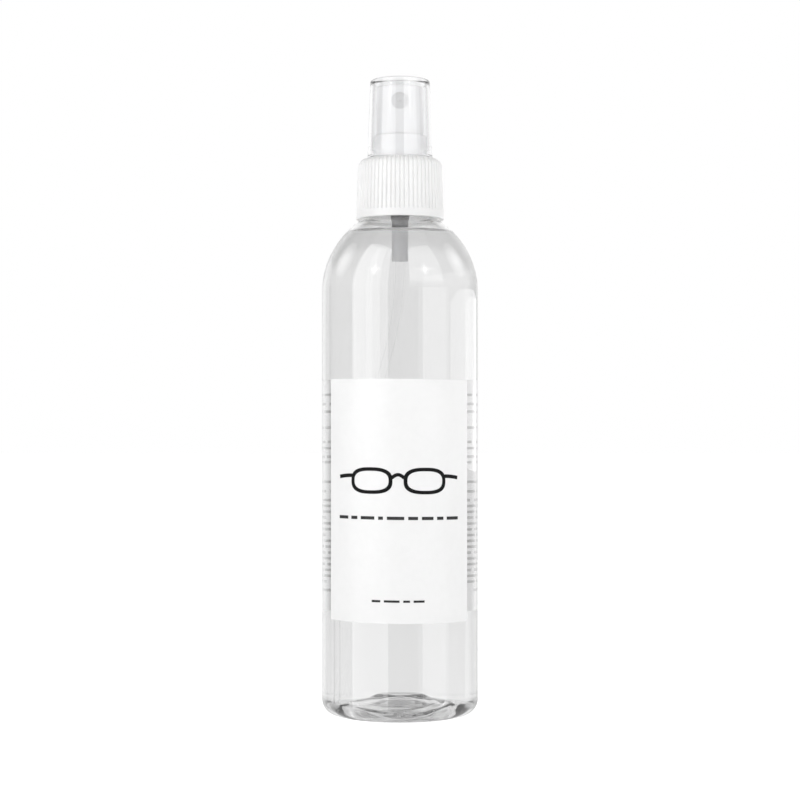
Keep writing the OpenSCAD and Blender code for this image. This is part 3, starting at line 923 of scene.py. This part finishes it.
def make_tube():
    """A pipe along the route, cut square."""
    sides = 48
    heading = math.radians(TUBE_HEADING)
    out_x, out_y = math.cos(heading), math.sin(heading)
    route = tube_route()
    verts, faces = [], []
    for radius in (TUBE_R, TUBE_BORE):
        for away, z, lean in route:
            tilt = math.radians(lean)
            for k in range(sides):
                b = 2 * math.pi * k / sides
                in_plane, across = radius * math.cos(b), radius * math.sin(b)
                r = away + in_plane * math.cos(tilt)
                verts.append((r * out_x - across * out_y, r * out_y + across * out_x,
                              z + in_plane * math.sin(tilt)))
    rings = len(route)
    layer = rings * sides
    for i in range(rings - 1):
        for k in range(sides):
            m = (k + 1) % sides
            q = [i * sides + k, i * sides + m, (i + 1) * sides + m, (i + 1) * sides + k]
            faces.append(q)
            faces.append([layer + v for v in reversed(q)])
    for i in (0, rings - 1):
        for k in range(sides):
            m = (k + 1) % sides
            faces.append([i * sides + k, i * sides + m, layer + i * sides + m, layer + i * sides + k])
    tube = new_piece("dip_pipe", verts, faces, 50)
    finish_piece(tube, "pump_body", "tube_plastic", "tube")
    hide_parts("dip_tube")


make_housing()
make_turret()
make_spring()
make_tube()

for node, look in (
        ("neck_gasket", "foam"),
        ("stem_seal", "rubber"),
        ("ball_retainer", "natural"),
        ("inlet_ball", "steel"),
        ("lower_stem", "natural"),
        ("upper_stem", "natural"),
        ("pump_piston", "natural"),
        ("actuator_button", "white"),
        ("nozzle_insert", "insert")):
    paint_node(node, look)

# ---------------------------------------------------------------- stage, light and camera

# How bright the room is to bent and mirrored rays, on each side and down towards the table behind.
ROOM_LEFT, ROOM_RIGHT, ROOM_BACK, ROOM_TABLE = 0.3, 0.6, 1.0, 0.84
# The tones of the painted shadow on the table under the bottle.
SHADE_DARK, SHADE_LIGHT = 0.3, 0.85


def area_light(name, shape, width, height, radiance, out, distance, aim_z):
    """A light of one radiance that stands in the direction out and shines back at the axis, at aim_z."""
    data = bpy.data.lights.new(name, "AREA")
    data.shape = shape
    data.size, data.size_y = width, height
    covered = math.pi / 4 if shape == "DISK" else 1
    data.energy = radiance * math.pi * width * height * covered
    light = bpy.data.objects.new(name, data)
    light.location = out * distance + Vector((0, 0, aim_z))
    light.rotation_mode = "QUATERNION"
    light.rotation_quaternion = out.to_track_quat("Z", "Y")
    light.visible_camera = False
    bpy.context.scene.collection.objects.link(light)
    return light


def card(name, left, right, low_z, high_z, radiance, distance):
    """A soft upright light that fills the directions between two azimuths, in degrees from the camera's
    side towards +X, and stands between two heights in metres."""
    middle = math.radians((left + right) / 2)
    half = math.radians((right - left) / 2)
    out = Vector((math.sin(middle), -math.cos(middle), 0))
    return area_light(name, "RECTANGLE", 2 * distance * math.sin(half), high_z - low_z, radiance,
                      out, distance * math.cos(half), (low_z + high_z) / 2)


def sheen(name, left, right, low_z, high_z, radiance, distance):
    """A card that only mirrored rays find, so that it lies on the gloss and lights nothing else."""
    light = card(name, left, right, low_z, high_z, radiance, distance)
    light.visible_transmission = False
    light.visible_diffuse = False


def lamp(name, azimuth, elevation, size, radiance, distance):
    """A small round light in one direction, aimed at the bottle's shoulder."""
    turn, rise = math.radians(azimuth), math.radians(elevation)
    out = Vector((math.sin(turn) * math.cos(rise), -math.cos(turn) * math.cos(rise), math.sin(rise)))
    area_light(name, "DISK", size, size, radiance, out, distance, SHOULDER_Z * MM)


def light_only(light, names):
    """Limits a light to a few pieces."""
    lit = bpy.data.collections.new(light.name + "_lit")
    for name in names:
        lit.objects.link(bpy.data.objects[name])
    light.light_linking.receiver_collection = lit


def make_lights():
    """Softboxes left and right of the camera, low cards at the right, and the small lamps that star on
    the shoulder. No two lights lie in one plane, where a mirrored ray would find only the first of them."""
    card("left_softbox", -73, -17, -0.2, 1.28, 1.35, 0.8)
    for step in range(3):
        card("right_softbox_%d" % step, 14, 66, 0.22 + 0.04 * step, 1.28, 0.3, 0.8 + 0.01 * step)
    for step in range(2):
        card("right_card_%d" % step, 26 + 7 * step, 75 - 5 * step, -0.3, 0.2, 0.4, 0.8 + 0.01 * step)
    sheen("left_sheen", -70, -29, 0.08, 1.28, 0.8, 0.85)
    sheen("left_sheen_core", -50, -40, 0.08, 1.28, 0.5, 0.86)
    sheen("right_sheen", 14, 66, 0.3, 1.28, 0.2, 0.87)
    sheen("right_sheen_foot", 14, 60, 0.36, 0.6, 0.3, 0.88)
    sheen("left_rear_sheen", -154, -126, -0.3, 0.4, 0.4, 0.89)
    sheen("right_side_sheen", 78, 150, 0.05, 0.195, 0.8, 0.9)
    sheen("right_rear_sheen", 110, 150, -0.3, 0.195, 0.4, 0.91)
    cap_card = card("cap_card", 15, 78, 0.2, 0.6, 1.6, 0.78)
    cap_card.visible_transmission = False
    light_only(cap_card, ("clear_overcap", "pump_turret", "actuator_button"))
    for side in (-1, 1):
        star = side * 39
        lamp("star_%d" % side, star, 26, 0.07, 8, 0.9)
        lamp("glow_%d" % side, star, 26, 0.2, 0.8, 0.91)
        card("star_rise_%d" % side, star - 0.8, star + 0.8, 0.42, 0.7, 1.3, 0.83)
        card("star_reach_%d" % side, star - 16, star + 16, 0.53, 0.555, 0.7, 0.84)
        for step, size in enumerate((0.2, 0.35, 0.5)):
            lamp("wing_%d_%d" % (side, step), side * 104, 29, size, 0.6, 0.9 + 0.01 * step)


def make_floor():
    """The pale floor, which glows a little so that it meets the white room without an edge."""
    mesh = bpy.data.meshes.new("floor")
    reach = 6.0
    mesh.from_pydata([(-reach, -reach, 0), (reach, -reach, 0), (reach, reach, 0), (-reach, reach, 0)], [],
                     [[0, 1, 2, 3]])
    floor = bpy.data.objects.new("floor", mesh)
    bpy.context.scene.collection.objects.link(floor)
    m, nodes, links, shader = material("pale_floor", (0.9, 0.9, 0.9), 0.8)
    shader.inputs["Emission Color"].default_value = (1, 1, 1, 1)
    shader.inputs["Emission Strength"].default_value = 0.75
    bump(nodes, links, shader, noise(nodes, links, 30, 3), 0.02, 0.001)
    mesh.materials.append(m)
    floor.visible_glossy = False
    floor.visible_transmission = False


def make_floor_shade():
    """A painted shadow: a glowing disc for the shaded patch of table right under the bottle, which only its
    clear base shows.
    """
    work = bmesh.new()
    bmesh.ops.create_circle(work, cap_ends=True, segments=64, radius=(BODY_R + 1) * MM)
    mesh = bpy.data.meshes.new("floor_shade")
    work.to_mesh(mesh)
    work.free()
    shade = bpy.data.objects.new("floor_shade", mesh)
    shade.location.z = -0.4 * MM
    bpy.context.scene.collection.objects.link(shade)
    m, nodes, links, shader = material("floor_in_shade", (0, 0, 0), 1.0)
    shader.inputs["Emission Color"].default_value = (1, 1, 1, 1)
    shader.inputs["Specular IOR Level"].default_value = 0.0
    vary(nodes, links, shader, "Emission Strength", noise(nodes, links, 120, 2), SHADE_DARK, SHADE_LIGHT)
    mesh.materials.append(m)
    shade.visible_camera = False
    shade.visible_diffuse = False
    shade.visible_glossy = False
    shade.visible_shadow = False


def make_world():
    """A white room to look at, and a softer grey one for what the clear parts bend and mirror."""
    world = bpy.data.worlds.new("studio")
    bpy.context.scene.world = world
    world.use_nodes = True
    nodes, links = world.node_tree.nodes, world.node_tree.links
    background = nodes["Background"]
    place = nodes.new("ShaderNodeTexCoord")
    split = nodes.new("ShaderNodeSeparateXYZ")
    links.new(place.outputs["Generated"], split.inputs["Vector"])

    def remap(value, low, high, out_low, out_high):
        node = nodes.new("ShaderNodeMapRange")
        node.interpolation_type = "SMOOTHSTEP"
        node.inputs["From Min"].default_value = low
        node.inputs["From Max"].default_value = high
        node.inputs["To Min"].default_value = out_low
        node.inputs["To Max"].default_value = out_high
        links.new(value, node.inputs["Value"])
        return node.outputs["Result"]

    def maths(operation, a, b):
        node = nodes.new("ShaderNodeMath")
        node.operation = operation
        for socket, value in zip(node.inputs, (a, b)):
            if isinstance(value, float):
                socket.default_value = value
            else:
                links.new(value, socket)
        return node.outputs["Value"]

    front = remap(split.outputs["X"], -0.5, 0.6, ROOM_LEFT, ROOM_RIGHT)
    behind = remap(split.outputs["Y"], 0.45, 0.8, 0.0, 1.0)
    below = remap(split.outputs["Z"], -0.25, -0.02, 1.0, 0.0)
    table = remap(split.outputs["Z"], -0.32, -0.16, ROOM_TABLE, ROOM_BACK)
    backdrop = maths("MULTIPLY", maths("MAXIMUM", behind, below), table)
    room = maths("MAXIMUM", front, backdrop)
    path = nodes.new("ShaderNodeLightPath")
    strength = maths("MAXIMUM", room, path.outputs["Is Camera Ray"])
    background.inputs["Color"].default_value = (1, 1, 1, 1)
    links.new(strength, background.inputs["Strength"])


make_floor()
make_floor_shade()
make_world()
make_lights()

scene = bpy.context.scene
scene.view_settings.view_transform = "Standard"
scene.view_settings.look = "None"
scene.cycles.blur_glossy = 0.0
scene.cycles.max_bounces = 24
scene.cycles.transmission_bounces = 24
scene.cycles.glossy_bounces = 12
scene.cycles.transparent_max_bounces = 16
scene.cycles.sample_clamp_indirect = 6.0

CAMERA_DISTANCE = 0.6
CAMERA_HEIGHT = 0.091
CAMERA_LENS = 84.3
CAMERA_SHIFT = 0.0356           # lifts the view, so that the upright lines stay upright
camera_data = bpy.data.cameras.new("camera")
camera_data.sensor_width = 36
camera_data.lens = CAMERA_LENS
camera_data.shift_y = CAMERA_SHIFT
camera = bpy.data.objects.new("camera", camera_data)
camera.location = (0, -CAMERA_DISTANCE, CAMERA_HEIGHT)
camera.rotation_euler = (math.radians(90), 0, 0)
scene.collection.objects.link(camera)
scene.camera = camera
